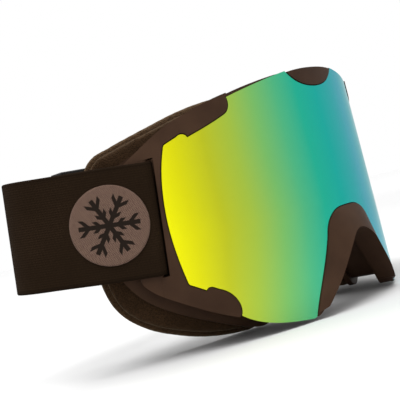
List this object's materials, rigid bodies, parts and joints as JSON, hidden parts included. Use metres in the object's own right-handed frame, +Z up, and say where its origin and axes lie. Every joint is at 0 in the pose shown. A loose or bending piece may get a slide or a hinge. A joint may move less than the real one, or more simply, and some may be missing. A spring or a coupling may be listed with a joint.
{
  "type": "ski goggles",
  "caption": "Frameless-look ski goggles with a cylindrical mirrored lens, soft moulded frame, layered face foam and a wide elastic strap with length adjusters.",
  "frame": {"origin": "on the axis of the cylindrical lens, at the lens's mid height, in the centre plane", "axes": "+Z up, the lens faces -Y, the wearer's face is on the +Y side, +X is the wearer's left"},
  "size_m": [0.211, 0.101, 0.0979],
  "materials": {
    "frame": "soft moulded polyurethane, fine matte texture",
    "lens_mirror": "mirror coated, yellow at the temples through green to blue in the middle",
    "lens_clear": "clear, anti-fog",
    "spacer_foam": "closed-cell foam tape",
    "foam_dense": "closed-cell foam",
    "foam_soft": "open-cell foam",
    "fleece": "brushed fleece",
    "vent_foam": "open-cell filter foam",
    "webbing": "woven elastic",
    "badge_weave": "woven disc",
    "adjuster_plastic": "satin moulded",
    "thread": "close zigzag stitching",
    "silicone": "soft printed lines"
  },
  "bodies": {
    "goggles": {"frame_shell": "frame", "foam_base": "foam_dense", "foam_middle": "foam_soft", "foam_fleece": "fleece", "vent_foam_top_left": "vent_foam", "vent_foam_top_right": "vent_foam", "vent_foam_low_left": "vent_foam", "vent_foam_low_right": "vent_foam", "vent_foam_side_left": "vent_foam", "vent_foam_side_right": "vent_foam", "strap_outer": "webbing", "strap_return_left": "webbing", "strap_return_right": "webbing", "badge_left": "badge_weave", "badge_right": "badge_weave", "strap_grip_upper": "silicone", "strap_grip_middle": "silicone", "strap_grip_lower": "silicone"},
    "lens": {"lens_outer": "lens_mirror", "lens_spacer": "spacer_foam", "lens_inner": "lens_clear"},
    "adjuster_left": {"adjuster_left": "adjuster_plastic", "bartack_left": "thread"},
    "adjuster_right": {"adjuster_right": "adjuster_plastic", "bartack_right": "thread"}
  },
  "joints": [
    {"name": "lens_release", "type": "slide", "parent": "goggles", "child": "lens", "axis": [0, -1, 0], "range_m": [0, 0.04]},
    {"name": "adjuster_left_slide", "type": "slide", "parent": "goggles", "child": "adjuster_left", "axis": [-1, 0, 0], "range_m": [-0.004, 0.018], "deforming": ["strap_return_left"]},
    {"name": "adjuster_right_slide", "type": "slide", "parent": "goggles", "child": "adjuster_right", "axis": [1, 0, 0], "range_m": [-0.004, 0.018], "deforming": ["strap_return_right"]}
  ]
}
